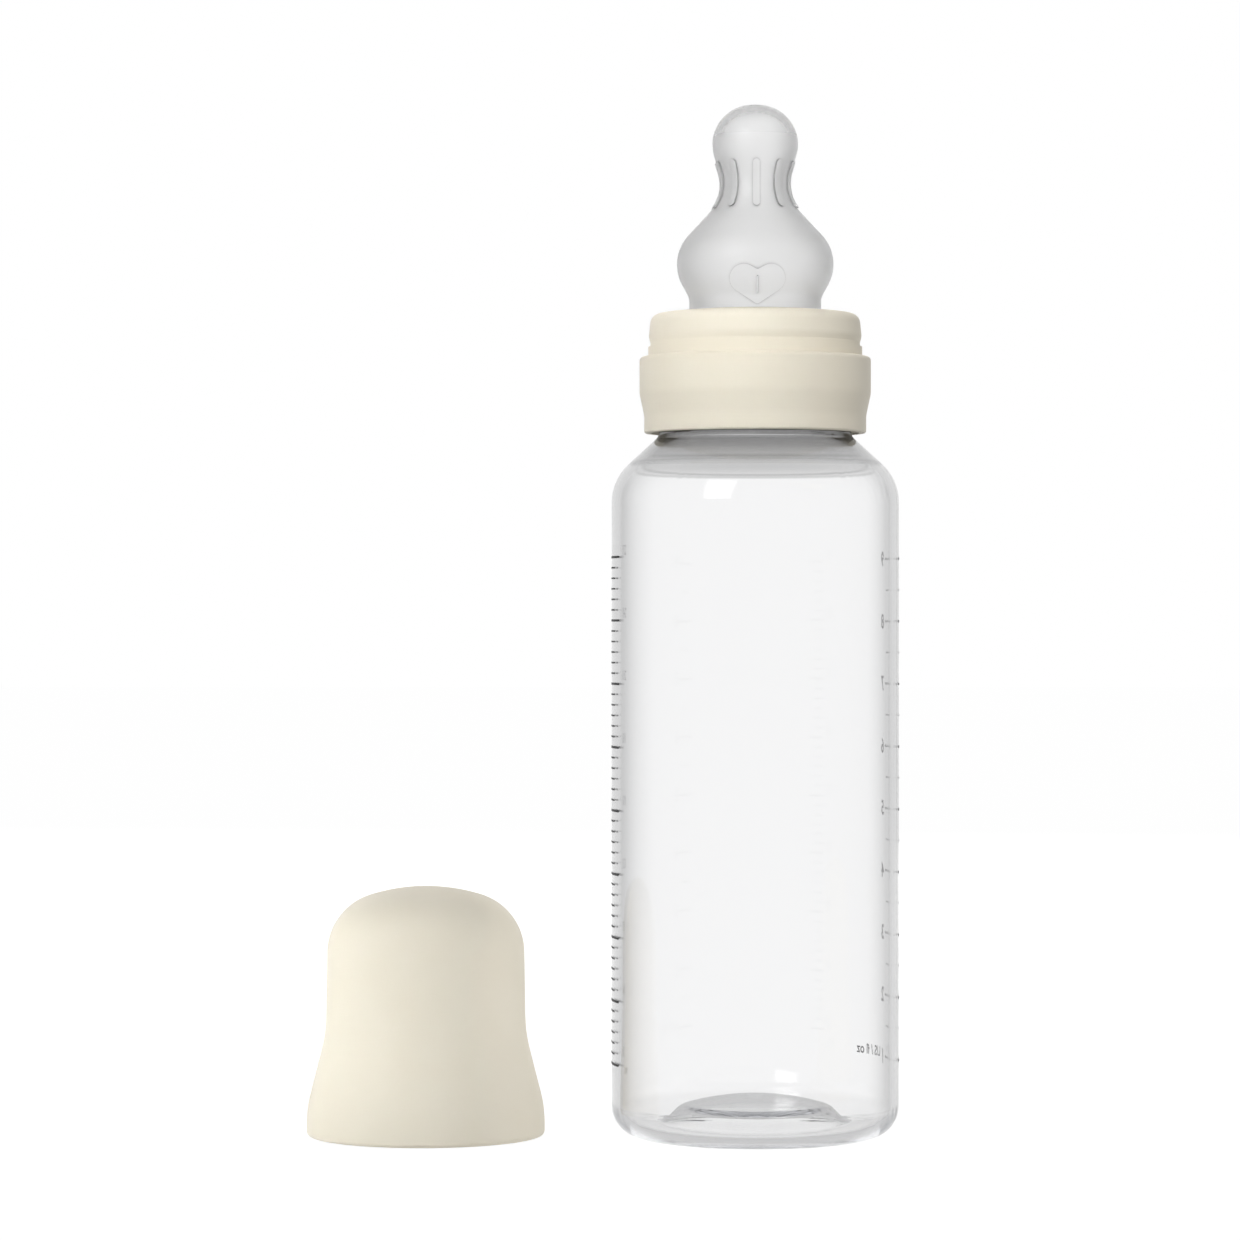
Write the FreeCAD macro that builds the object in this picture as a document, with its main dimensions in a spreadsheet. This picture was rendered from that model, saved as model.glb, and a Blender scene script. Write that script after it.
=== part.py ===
import FreeCAD, Part
import math
import os

import Sketcher

# A feeding bottle in four moulded pieces: a clear blown bottle, a soft silicone teat whose flange lies on the
# bottle's rim, a screw collar that clamps the flange, and a bell-shaped cap that snaps over the collar.
# The bottle stands on the origin with +Z up. The cap is off and stands beside it on the same surface.

# Driving dimensions in millimetres, angles in degrees. Heights are above the standing surface, except in
# the cap, where they are above its own rim.
SIZES = {
    # Bottle: barrel, shoulder and neck. A share is how much of the room for an S-curve a round takes up.
    "body_radius": 29.0,
    "body_wall": 1.65,
    "shoulder_start": 128.0,
    "shoulder_rise": 13.9,
    "shoulder_share": 0.7,
    "neck_radius": 19.45,
    "neck_share": 0.087,
    "neck_length": 20.1,
    "rim_round": 0.5,
    # Bottle: foot ring and the pushed-up middle of the base
    "base_corner": 6.2,
    "base_wall": 2.0,
    "foot_ring_width": 2.9,
    "punt_slope_run": 6.9,
    "punt_height": 4.7,
    "punt_crown": 1.8,
    "punt_under_round": 2.4,
    "foot_inner_round": 1.0,
    # Teat: heights are above the rim that its flange lies on
    "flange_gap": 0.35,
    "flange_thickness": 2.2,
    "teat_wall": 1.5,
    "waist_radius": 13.3,
    "waist_height": 6.4,
    "waist_share": 0.25,
    "bulb_swell": 2.5,
    "bulb_rise": 7.6,
    "bulb_low_share": 0.67,
    "bulb_high_share": 0.46,
    "nipple_neck_radius": 6.9,
    "nipple_neck_share": 0.43,
    "nipple_stem": 8.05,
    "tip_share": 0.92,
    "tip_swell": 1.75,
    "tip_flat": 0.7,
    "teat_height": 46.2,
    "feed_hole_radius": 0.4,
    # Teat: raised ribs round the nipple's neck, and the heart-shaped pad with its vent slit
    "relief": 0.45,
    "relief_root": 0.5,
    "rib_count": 10.0,
    "rib_width": 1.35,
    "rib_below": 5.0,
    "rib_above": 4.4,
    "pad_low": 5.2,
    "pad_tall": 7.7,
    "pad_lobe": 2.75,
    "pad_notch_drop": 1.0,
    "pad_notch_round": 0.7,
    "pad_tip_round": 0.8,
    "slit_width": 0.3,
    "slit_above": 2.1,
    "slit_length": 3.4,
    # Screw collar
    "running_gap": 0.3,
    "thread_room": 1.6,
    "thread_room_drop": 0.3,
    "skirt_wall": 1.35,
    "skirt_flare_out": 0.95,
    "skirt_flare_low": 3.0,
    "skirt_flare_rise": 5.5,
    "skirt_flare_round": 5.0,
    "skirt_foot_round": 0.4,
    "grip_drop": 6.9,
    "grip_round": 0.8,
    "upper_wall": 1.7,
    "band_step": 0.15,
    "band_height": 2.0,
    "snap_depth": 0.3,
    "snap_groove_height": 0.9,
    "snap_bulge_height": 2.3,
    "snap_bulge_round": 2.2,
    "collar_top_thickness": 1.8,
    "collar_crown": 0.5,
    "collar_top_round": 2.0,
    "collar_top_inset": 0.25,
    "collar_hole_round": 0.4,
    # Protective cap, and where it stands
    "cap_tip_gap": 0.2,
    "cap_wall": 1.6,
    "cap_top_wall": 1.1,
    "cap_crown_rise": 1.2,
    "cap_top_round": 12.2,
    "cap_side_taper": 0.2,
    "cap_waist_height": 24.6,
    "cap_waist_share": 0.477,
    "cap_flare_share": 0.35,
    "cap_flare_width": 3.9,
    "cap_rim_width": 2.25,
    "cap_rim_corner": 0.9,
    "cap_rim_depth": 1.6,
    "cap_rim_straight": 0.55,
    "cap_snap_bite": 0.15,
    "cap_snap_depth": 0.8,
    "cap_stand_apart": 13.5,
    "cap_stand_gap": 0.25,
}

LEFT = "left"
RIGHT = "right"
OTHER_WAY = {LEFT: RIGHT, RIGHT: LEFT}
FULL_TURN = 360.0

doc = FreeCAD.newDocument("FeedingBottle")
sheet = doc.addObject("Spreadsheet::Sheet", "Sizes")
for row, (alias, number) in enumerate(SIZES.items(), start=1):
    sheet.set(f"A{row}", alias)
    sheet.set(f"B{row}", str(number))
    sheet.setAlias(f"B{row}", alias)
doc.recompute()


class Size:
    """A number with the spreadsheet expression that gives it, so that sums stay bound to the cells."""

    def __init__(self, value, text):
        self.value = float(value)
        self.text = text

    def _with(self, sign, other, value):
        other_text = other.text if isinstance(other, Size) else repr(other)
        return Size(value, f"({self.text} {sign} {other_text})")

    def __add__(self, other):
        return self._with("+", other, self.value + number_of(other))

    def __sub__(self, other):
        return self._with("-", other, self.value - number_of(other))

    def __mul__(self, other):
        return self._with("*", other, self.value * number_of(other))

    def __truediv__(self, other):
        return self._with("/", other, self.value / number_of(other))

    def __neg__(self):
        return Size(-self.value, f"(-1 * {self.text})")


def number_of(size):
    """The plain number of a Size or of a number."""
    return size.value if isinstance(size, Size) else float(size)


class Sizes:
    """Gives each spreadsheet alias as an attribute."""

    def __getattr__(self, alias):
        return Size(getattr(sheet, alias), f"Sizes.{alias}")


size = Sizes()


class Corner:
    """A sharp corner of an outline. A radius or height of None lies on that axis."""

    bend = 0.0

    def __init__(self, name, r, z):
        self.name = name
        self.r = r
        self.z = z

    def centre(self):
        return (0.0 if self.r is None else self.r.value, 0.0 if self.z is None else self.z.value)


class Round(Corner):
    """An arc of an outline, given by its centre and radius, which the straight runs on both sides touch."""

    def __init__(self, name, r, z, radius, turn):
        super().__init__(name, r, z)
        self.radius = radius
        self.turn = turn
        self.bend = radius.value if turn == LEFT else -radius.value


class Crown:
    """A shallow arc centred on the axis, from a height on the axis to the round beside it."""

    def __init__(self, name, z, turn):
        self.name = name
        self.z = z
        self.turn = turn

    def touch(self, beside):
        """Sets the arc's centre, radius and the point where it meets the round beside it."""
        cr, cz = beside.centre()
        near = beside.radius.value
        rise = self.z.value - cz
        self.reach = (rise * rise + cr * cr - near * near) / (2.0 * (rise - near))
        self.middle = (0.0, self.z.value - self.reach)
        away = math.hypot(cr, cz - self.middle[1])
        self.joint = (cr * self.reach / away, self.middle[1] + (cz - self.middle[1]) * self.reach / away)


def straight_run(first, second):
    """Both ends of the line that touches two outline elements, walking from the first to the second."""
    (ax, ay), (bx, by) = first.centre(), second.centre()
    between = math.hypot(bx - ax, by - ay)
    heading = math.atan2(by - ay, bx - ax) - math.asin((second.bend - first.bend) / between)
    left = (-math.sin(heading), math.cos(heading))
    start = (ax - first.bend * left[0], ay - first.bend * left[1])
    end = (bx - second.bend * left[0], by - second.bend * left[1])
    return start, end


def arc_between(centre, radius, start, end, turn):
    """An arc from start to end about a centre, turning left or right."""
    first, last = (start, end) if turn == LEFT else (end, start)
    angles = [math.atan2(p[1] - centre[1], p[0] - centre[0]) for p in (first, last)]
    if angles[1] < angles[0]:
        angles[1] += 2.0 * math.pi
    circle = Part.Circle(FreeCAD.Vector(centre[0], centre[1], 0), FreeCAD.Vector(0, 0, 1), radius)
    return Part.ArcOfCircle(circle, angles[0], angles[1])


# How a sketch numbers the points of a curve, and its own axes.
START, END, MIDDLE = range(1, 4)
X_AXIS, Z_AXIS = range(-1, -3, -1)
ORIGIN = X_AXIS


class Outline:
    """A closed outline in the XZ plane, made of corners, rounds and crowns and bound to the spreadsheet."""

    def __init__(self, body, name, elements):
        plane = next(f for f in body.Origin.OriginFeatures if f.Role == "XZ_Plane")
        self.sketch = body.newObject("Sketcher::SketchObject", name)
        self.sketch.AttachmentSupport = [(plane, "")]
        self.sketch.MapMode = "FlatFace"
        self.elements = elements
        self.ends = {}
        self.shapes = []
        self.rules = []
        self.bound = []
        self._find_ends()
        self._draw_arcs()
        self._draw_runs()
        self._place_all()
        self.sketch.addGeometry(self.shapes, False)
        self.sketch.addConstraint([rule for rule, _, _ in self.rules])
        for index, (_, label, bound) in enumerate(self.rules):
            if bound is not None:
                self.sketch.renameConstraint(index, label)
                self.sketch.setExpression(f"Constraints.{label}", bound.text)

    def _joins(self):
        count = len(self.elements)
        return [(i, (i + 1) % count) for i in range(count)]

    def _direct(self, i, j):
        """A crown runs straight into the round beside it, with no line between."""
        kinds = {type(self.elements[i]), type(self.elements[j])}
        return kinds == {Crown, Round}

    def _find_ends(self):
        for i, j in self._joins():
            first, second = self.elements[i], self.elements[j]
            if self._direct(i, j):
                crown, beside = (first, second) if isinstance(first, Crown) else (second, first)
                crown.touch(beside)
                self.ends[i, "out"] = self.ends[j, "in"] = crown.joint
            elif isinstance(first, Crown):
                self.ends[i, "out"] = (0.0, first.z.value)
                self.ends[j, "in"] = (0.0, second.z.value)
            else:
                self.ends[i, "out"], self.ends[j, "in"] = straight_run(first, second)

    def _draw_arcs(self):
        self.arc = {}
        for i, element in enumerate(self.elements):
            if isinstance(element, Round):
                centre, radius = element.centre(), element.radius.value
            elif isinstance(element, Crown):
                centre, radius = element.middle, element.reach
            else:
                continue
            self.arc[i] = len(self.shapes)
            self.shapes.append(
                arc_between(centre, radius, self.ends[i, "in"], self.ends[i, "out"], element.turn)
            )

    def _draw_runs(self):
        self.run = {}
        for i, j in self._joins():
            if self._direct(i, j):
                continue
            self.run[i] = len(self.shapes)
            ends = [FreeCAD.Vector(*self.ends[k], 0) for k in ((i, "out"), (j, "in"))]
            self.shapes.append(Part.LineSegment(*ends))

    def _rule(self, *words, label=None, bound=None):
        if bound is not None:
            words = (*words, bound.value)
        self.rules.append((Sketcher.Constraint(*words), label, bound))

    def _pin(self, shape, where, element):
        """Ties a point of a shape to the element's own place."""
        if element.r is None:
            self._rule("PointOnObject", shape, where, Z_AXIS)
        else:
            self._rule("DistanceX", ORIGIN, START, shape, where, label=f"{element.name}_r", bound=element.r)
        if element.z is None:
            self._rule("PointOnObject", shape, where, X_AXIS)
        else:
            self._rule("DistanceY", ORIGIN, START, shape, where, label=f"{element.name}_z", bound=element.z)

    def _place_all(self):
        for i, j in self._joins():
            before = self.elements[i]
            element = self.elements[j]
            if isinstance(element, Corner) and not isinstance(element, Round):
                self._rule("Coincident", self.run[i], END, self.run[j], START)
                self._pin(self.run[j], START, element)
                continue
            arrive, leave = (START, END) if element.turn == LEFT else (END, START)
            if isinstance(element, Round):
                self._pin(self.arc[j], MIDDLE, element)
                self._rule("Radius", self.arc[j], label=f"{element.name}_round", bound=element.radius)
            else:
                self._rule("PointOnObject", self.arc[j], MIDDLE, Z_AXIS)
                apex = arrive if isinstance(before, Crown) else leave
                self._rule("PointOnObject", self.arc[j], apex, Z_AXIS)
                self._rule(
                    "DistanceY", ORIGIN, START, self.arc[j], apex, label=f"{element.name}_z", bound=element.z
                )
            if i in self.run:
                joined = "Coincident" if isinstance(element, Crown) else "Tangent"
                self._rule(joined, self.run[i], END, self.arc[j], arrive)
            else:
                before_leaves = END if before.turn == LEFT else START
                self._rule("Tangent", self.arc[i], before_leaves, self.arc[j], arrive)
            if j in self.run:
                joined = "Coincident" if isinstance(element, Crown) else "Tangent"
                self._rule(joined, self.arc[j], leave, self.run[j], START)


def new_body(name):
    """A part body with its own name and label."""
    body = doc.addObject("PartDesign::Body", name)
    body.Label = name
    return body


def revolve(body, name, elements):
    """Turns a closed outline a full turn about the Z axis."""
    sketch = Outline(body, f"{name}_outline", elements).sketch
    turned = body.newObject("PartDesign::Revolution", f"{name}_turned")
    turned.Profile = sketch
    turned.ReferenceAxis = (sketch, ["V_Axis"])
    turned.Angle = FULL_TURN
    sketch.Visibility = False
    doc.recompute()
    return turned


def curve_room(out, up):
    """The most that the two radii of an S-curve can add up to, for its step outwards and its height."""
    return (out * out + up * up) / (out * 2)


def smaller(first, second):
    """The smaller of two sizes."""
    return Size(min(first.value, second.value), f"min({first.text}; {second.text})")


def neck_start():
    """Height at which the neck is straight, and down to which the collar reaches."""
    return size.shoulder_start + size.shoulder_rise


def rim_height():
    """Height of the bottle's rim, on which the teat's flange lies."""
    return neck_start() + size.neck_length


def teat_place(height):
    """A height on the teat, counted from the rim that its flange lies on."""
    return rim_height() + height


def upper_bore():
    """Radius of the collar's bore round the rim and the flange."""
    return size.neck_radius + size.running_gap


def snap_bulge():
    """Radius of the bulge that the cap snaps over."""
    return upper_bore() + size.upper_wall


def band_top():
    """Height of the band on which the closed cap's rim would rest."""
    return teat_place(size.flange_thickness) - size.grip_drop + size.band_height


def build_bottle():
    """The blown bottle: foot ring, pushed-up base, barrel, sloping shoulder and open neck, one even wall."""
    wall, floor = size.body_wall, size.base_wall
    body = new_body("bottle_body")
    room = curve_room(size.body_radius - size.neck_radius, size.shoulder_rise)
    shoulder, neck = room * size.shoulder_share, room * size.neck_share
    corner = size.base_corner
    corner_r = size.body_radius - corner
    shoulder_r = size.body_radius - shoulder
    neck_r = size.neck_radius + neck
    rim = rim_height() - size.rim_round
    bore = size.neck_radius - wall
    punt_r = corner_r - size.foot_ring_width
    punt_top_r = punt_r - size.punt_slope_run
    edge, dip = size.punt_under_round, size.foot_inner_round
    edge_z = size.punt_height - edge
    dome = size.punt_height + size.punt_crown
    revolve(body, "bottle", [
        Crown("punt_middle", dome, RIGHT),
        Round("punt_edge", punt_top_r, edge_z, edge, RIGHT),
        Round("foot_inside", punt_r, floor + dip, floor + dip, LEFT),
        Round("foot", corner_r, corner, corner, LEFT),
        Round("shoulder", shoulder_r, size.shoulder_start, shoulder, LEFT),
        Round("neck", neck_r, neck_start(), neck, RIGHT),
        Round("rim_out", size.neck_radius - size.rim_round, rim, size.rim_round, LEFT),
        Round("rim_in", bore + size.rim_round, rim, size.rim_round, LEFT),
        Round("neck_in", neck_r, neck_start(), neck + wall, LEFT),
        Round("shoulder_in", shoulder_r, size.shoulder_start, shoulder - wall, RIGHT),
        Round("foot_in", corner_r, corner - wall + floor, corner - wall, RIGHT),
        Round("floor_dip", punt_r, floor + dip, dip, RIGHT),
        Round("floor_edge", punt_top_r, edge_z, edge + floor, LEFT),
        Crown("floor_middle", dome + floor, LEFT),
    ])
    return body


def nipple_neck_height():
    """Height of the nipple's narrowest place above the rim."""
    return size.teat_height - (size.nipple_neck_radius + size.tip_swell - size.tip_flat) - size.nipple_stem


def teat_side(outset, turn, tag):
    """One side of the teat's wall from the waist to the tip, offset outwards from its outer skin."""
    tip = size.nipple_neck_radius + size.tip_swell - size.tip_flat
    bulb_height = size.waist_height + size.bulb_rise
    bulb_r = size.waist_radius + size.bulb_swell
    low_room = curve_room(size.bulb_swell, size.bulb_rise)
    high_room = curve_room(bulb_r - size.nipple_neck_radius, nipple_neck_height() - bulb_height)
    tip_room = curve_room(size.tip_swell, size.nipple_stem)
    waist = low_room * size.waist_share
    bulb = smaller(low_room * size.bulb_low_share, high_room * size.bulb_high_share)
    neck = smaller(high_room * size.nipple_neck_share, tip_room * size.tip_share - tip)
    top = teat_place(size.teat_height)
    neck_z = teat_place(nipple_neck_height())
    back = OTHER_WAY[turn]
    return [
        Round(f"waist{tag}", size.waist_radius + waist, teat_place(size.waist_height), waist - outset, back),
        Round(f"bulb{tag}", bulb_r - bulb, teat_place(bulb_height), bulb + outset, turn),
        Round(f"neck{tag}", size.nipple_neck_radius + neck, neck_z, neck - outset, back),
        Round(f"tip{tag}", size.tip_flat, top - tip, tip + outset, turn),
        Corner(f"tip_middle{tag}", None, top + outset),
    ]


def flange_radius():
    """Radius of the teat's flange, which lies inside the collar."""
    return upper_bore() - size.flange_gap


def build_teat_wall():
    """The teat's even wall: flange, waist in the collar's hole, bulb, narrow neck and ball tip."""
    body = new_body("teat_wall")
    flange_top = teat_place(size.flange_thickness)
    revolve(body, "teat", [
        Corner("mouth", size.waist_radius - size.teat_wall, rim_height()),
        Corner("flange_low", flange_radius(), rim_height()),
        Corner("flange_high", flange_radius(), flange_top),
        Corner("flange_root", size.waist_radius, flange_top),
        *teat_side(size.teat_wall * 0, LEFT, ""),
        *reversed(teat_side(-size.teat_wall, RIGHT, "_in")),
    ])
    return body


def build_relief_skin():
    """A thin skin over the teat, from which the raised ribs and the pad are cut."""
    body = new_body("relief_skin")
    low = teat_place(size.flange_thickness)
    revolve(body, "skin", [
        Corner("low_in", size.waist_radius - size.relief_root, low),
        Corner("low_out", size.waist_radius + size.relief, low),
        *teat_side(size.relief, LEFT, ""),
        *reversed(teat_side(-size.relief_root, RIGHT, "_in")),
    ])
    return body


def pad_forward(body, sketch, name):
    """Extrudes a front outline from the axis towards the front, past the bulb."""
    pad = body.newObject("PartDesign::Pad", name)
    pad.Profile = sketch
    pad.setExpression("Length", flange_radius().text)
    sketch.Visibility = False
    doc.recompute()
    return pad


def build_rib_bars():
    """Round-ended bars that stand out from the axis like spokes, one for each rib."""
    body = new_body("rib_bars")
    half = size.rib_width / 2
    middle = teat_place(nipple_neck_height())
    sketch = Outline(body, "rib_outline", [
        Round("low", None, middle - size.rib_below + half, half, LEFT),
        Round("high", None, middle + size.rib_above - half, half, LEFT),
    ]).sketch
    bar = pad_forward(body, sketch, "rib_bar")
    spokes = body.newObject("PartDesign::PolarPattern", "rib_spokes")
    spokes.Originals = [bar]
    axis = next(f for f in body.Origin.OriginFeatures if f.Role == "Z_Axis")
    spokes.Axis = (axis, [""])
    spokes.Angle = FULL_TURN
    spokes.setExpression("Occurrences", "Sizes.rib_count")
    body.Tip = spokes
    doc.recompute()
    return body


def build_pad_block():
    """A heart-shaped bar towards the front, for the raised pad round the vent."""
    body = new_body("pad_block")
    lobe, notch, tip = size.pad_lobe, size.pad_notch_round, size.pad_tip_round
    low = teat_place(size.pad_low)
    high = low + size.pad_tall
    sketch = Outline(body, "pad_outline", [
        Round("tip", None, low + tip, tip, LEFT),
        Round("lobe_right", lobe, high - lobe, lobe, LEFT),
        Round("notch", None, high - size.pad_notch_drop + notch, notch, RIGHT),
        Round("lobe_left", -lobe, high - lobe, lobe, LEFT),
    ]).sketch
    pad_forward(body, sketch, "pad_bar")
    return body


def joined(kind, name, base, tool):
    """A boolean of two objects."""
    result = doc.addObject(kind, name)
    result.Base = base
    result.Tool = tool
    result.Refine = True
    doc.recompute()
    return result


def build_teat():
    """The teat with its ribs and vent pad raised on it, its feed hole and its vent slit."""
    bars = joined("Part::Fuse", "relief_bars", build_rib_bars(), build_pad_block())
    reliefs = joined("Part::Common", "reliefs", build_relief_skin(), bars)
    moulded = joined("Part::Fuse", "teat_moulded", build_teat_wall(), reliefs)
    hole = doc.addObject("Part::Cylinder", "feed_hole")
    hole.setExpression("Radius", "Sizes.feed_hole_radius")
    hole.setExpression("Height", "Sizes.teat_wall * 3")
    hole.setExpression(".Placement.Base.z", (teat_place(size.teat_height) - size.teat_wall * 2).text)
    slit = doc.addObject("Part::Box", "vent_slit")
    slit.setExpression("Length", "Sizes.slit_width")
    slit.setExpression("Width", flange_radius().text)
    slit.setExpression("Height", "Sizes.slit_length")
    slit.setExpression(".Placement.Base.x", "-Sizes.slit_width / 2")
    slit.setExpression(".Placement.Base.y", (-flange_radius()).text)
    slit.setExpression(".Placement.Base.z", (teat_place(size.pad_low) + size.slit_above).text)
    doc.recompute()
    openings = joined("Part::Fuse", "teat_openings", hole, slit)
    return joined("Part::Cut", "teat", moulded, openings)


def build_collar():
    """The screw collar: skirt, flared grip, snap band for the cap, and the top that clamps the flange."""
    body = new_body("screw_collar")
    foot, flare, grip = size.skirt_foot_round, size.skirt_flare_round, size.grip_round
    under_top = teat_place(size.flange_thickness)
    top = under_top + size.collar_top_thickness
    hole = size.waist_radius + size.running_gap
    bottom = neck_start()
    skirt_bore = size.neck_radius + size.thread_room
    skirt_r = skirt_bore + size.skirt_wall
    grip_r = skirt_r + size.skirt_flare_out
    grip_top = under_top - size.grip_drop
    flare_low = bottom + size.skirt_flare_low
    thread_top = grip_top - size.thread_room_drop
    band_r = snap_bulge() + size.band_step
    groove_r = snap_bulge() - size.snap_depth
    edge, bulge = size.collar_top_round, size.snap_bulge_round
    hole_round = size.collar_hole_round
    revolve(body, "collar", [
        Corner("skirt_bottom", skirt_bore, bottom),
        Round("skirt_foot", skirt_r - foot, bottom + foot, foot, LEFT),
        Round("flare_low", skirt_r + flare, flare_low, flare, RIGHT),
        Round("flare_high", grip_r - flare, flare_low + size.skirt_flare_rise, flare, LEFT),
        Round("grip_edge", grip_r - grip, grip_top - grip, grip, LEFT),
        Corner("band_root", band_r, grip_top),
        Corner("band_edge", band_r, band_top()),
        Corner("groove_low", groove_r, band_top()),
        Corner("groove_high", groove_r, band_top() + size.snap_groove_height),
        Round("bulge", snap_bulge() - bulge, band_top() + size.snap_bulge_height, bulge, LEFT),
        Round("top_edge", snap_bulge() - size.collar_top_inset - edge, top - edge, edge, LEFT),
        Round("hole_edge", hole + hole_round, top + size.collar_crown - hole_round, hole_round, LEFT),
        Corner("hole_low", hole, under_top),
        Corner("top_inside", upper_bore(), under_top),
        Corner("step_high", upper_bore(), thread_top + (skirt_bore - upper_bore())),
        Corner("step_low", skirt_bore, thread_top),
    ])
    return body


def build_cap():
    """The bell-shaped cap, standing on its rim beside the bottle, with a snap bead inside the rim."""
    body = new_body("protective_cap")
    wall, corner = size.cap_wall, size.cap_rim_corner
    land = snap_bulge() + size.running_gap
    bead = snap_bulge() - size.snap_depth + size.cap_snap_bite
    bite = land - bead
    rim_r = land + size.cap_rim_width
    waist_in_r = rim_r - size.cap_flare_width
    inside_r = rim_r - wall
    step_z = size.cap_rim_depth + (inside_r - land)
    flare_z = step_z + size.cap_rim_straight
    room = curve_room(size.cap_flare_width, size.cap_waist_height - flare_z)
    flare, waist = room * size.cap_flare_share, room * size.cap_waist_share
    waist_r = waist_in_r + waist
    shoulder_r = waist_in_r - size.cap_side_taper - size.cap_top_round
    height = teat_place(size.teat_height) - band_top() + size.cap_tip_gap + size.cap_top_wall
    shoulder_z = height - size.cap_crown_rise - size.cap_top_round
    revolve(body, "cap", [
        Corner("rim_inside", land, None),
        Round("rim_corner", rim_r - corner, corner, corner, LEFT),
        Round("flare", rim_r - flare, flare_z, flare, LEFT),
        Round("waist", waist_r, size.cap_waist_height, waist, RIGHT),
        Round("shoulder", shoulder_r, shoulder_z, size.cap_top_round, LEFT),
        Crown("top", height, LEFT),
        Crown("top_in", height - size.cap_top_wall, RIGHT),
        Round("shoulder_in", shoulder_r, shoulder_z, size.cap_top_round - wall, RIGHT),
        Round("waist_in", waist_r, size.cap_waist_height, waist + wall, LEFT),
        Round("flare_in", rim_r - flare, flare_z, flare - wall, RIGHT),
        Corner("land_step", inside_r, step_z),
        Corner("land_high", land, size.cap_rim_depth),
        Corner("bead_high", land, size.cap_snap_depth + bite),
        Corner("bead", bead, size.cap_snap_depth),
        Corner("bead_low", land, size.cap_snap_depth - bite),
    ])
    body.setExpression(".Placement.Base.x", (-(size.body_radius + rim_r + size.cap_stand_apart)).text)
    body.setExpression(".Placement.Base.z", "Sizes.cap_stand_gap")
    doc.recompute()
    return body


def export(pieces):
    """Checks every object and every piece, then writes each piece to its own file."""
    doc.recompute()
    for item in doc.Objects:
        if {"Invalid", "Error"} & set(item.State):
            raise RuntimeError(f"{item.Label} did not build: {item.State}")
    for piece in pieces:
        if piece.Shape.isNull() or not piece.Shape.isValid() or not piece.Shape.Solids:
            raise RuntimeError(f"{piece.Label} has no valid solid")
    os.makedirs("parts", exist_ok=True)
    for piece in pieces:
        piece.Shape.exportStep(f"parts/{piece.Label}.step")
        solids = len(piece.Shape.Solids)
        print(f"{piece.Label}: {solids} solid, {piece.Shape.Volume / 1000.0:.2f} cm3")


export([build_bottle(), build_teat(), build_collar(), build_cap()])
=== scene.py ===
"""Looks of a clear feeding bottle with a silicone teat, a screw collar and a loose cap.

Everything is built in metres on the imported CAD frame, and rides on its bodies.
"""

from __future__ import annotations
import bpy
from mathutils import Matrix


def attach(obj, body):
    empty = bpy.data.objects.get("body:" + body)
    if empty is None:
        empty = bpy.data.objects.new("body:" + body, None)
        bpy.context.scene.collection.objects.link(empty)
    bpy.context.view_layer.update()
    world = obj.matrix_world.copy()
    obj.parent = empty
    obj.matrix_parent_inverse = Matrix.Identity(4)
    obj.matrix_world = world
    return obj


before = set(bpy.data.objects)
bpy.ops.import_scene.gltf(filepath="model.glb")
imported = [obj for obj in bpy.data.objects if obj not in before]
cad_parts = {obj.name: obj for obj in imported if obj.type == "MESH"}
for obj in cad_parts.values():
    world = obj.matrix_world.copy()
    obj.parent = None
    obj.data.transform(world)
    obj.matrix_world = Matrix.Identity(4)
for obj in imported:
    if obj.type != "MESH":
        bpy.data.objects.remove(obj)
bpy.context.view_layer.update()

import logging
import math
from dataclasses import dataclass
from enum import Enum
from typing import Any

import bmesh
import bpy
from mathutils import Vector

log = logging.getLogger("feeding_bottle")
MM = 0.001
WHITE = (1.0, 1.0, 1.0, 1.0)
Span = tuple[float, float]


def linear(code: str) -> tuple[float, float, float, float]:
    """Turns an sRGB hex colour into linear light.

    Args:
        code: Six hex digits.

    Returns:
        Red, green, blue and a full alpha.
    """
    steps = [int(code[i : i + 2], 16) / 255.0 for i in (0, 2, 4)]
    lights = [c / 12.92 if c <= 0.04045 else ((c + 0.055) / 1.055) ** 2.4 for c in steps]
    return (lights[0], lights[1], lights[2], 1.0)


def add_node(
    tree: bpy.types.NodeTree,
    kind: str,
    settings: dict[str, Any] | None = None,
    inputs: dict[Any, Any] | None = None,
) -> bpy.types.Node:
    """Adds a node to a tree, with its settings, values and links.

    Args:
        tree: The tree that gets the node.
        kind: The node's type name.
        settings: Properties of the node.
        inputs: Values or output sockets by input name or number.

    Returns:
        The new node.
    """
    node = tree.nodes.new(kind)
    for name, value in (settings or {}).items():
        setattr(node, name, value)
    for key, value in (inputs or {}).items():
        if isinstance(value, bpy.types.NodeSocket):
            tree.links.new(value, node.inputs[key])
        else:
            node.inputs[key].default_value = value
    return node


def height_ramp(
    tree: bpy.types.NodeTree, place: bpy.types.NodeSocket, stops: tuple[Span, ...]
) -> bpy.types.NodeSocket:
    """Adds a grey level that follows the height on the object.

    Args:
        tree: The tree that gets the nodes.
        place: The Object coordinates.
        stops: Heights in millimetres with their levels, from low to high.

    Returns:
        The colour's socket.
    """
    low, high = stops[0][0], stops[-1][0]
    height = add_node(tree, "ShaderNodeSeparateXYZ", inputs={"Vector": place}).outputs["Z"]
    share = add_node(
        tree,
        "ShaderNodeMapRange",
        inputs={"Value": height, "From Min": low * MM, "From Max": high * MM},
    )
    ramp = add_node(tree, "ShaderNodeValToRGB", inputs={"Fac": share.outputs["Result"]})
    marks = ramp.color_ramp.elements
    while len(marks) < len(stops):
        marks.new(1.0)
    for mark, (stop_mm, level) in zip(marks, stops):
        mark.position = (stop_mm - low) / (high - low)
        mark.color = (level, level, level, 1.0)
    return ramp.outputs["Color"]


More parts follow.
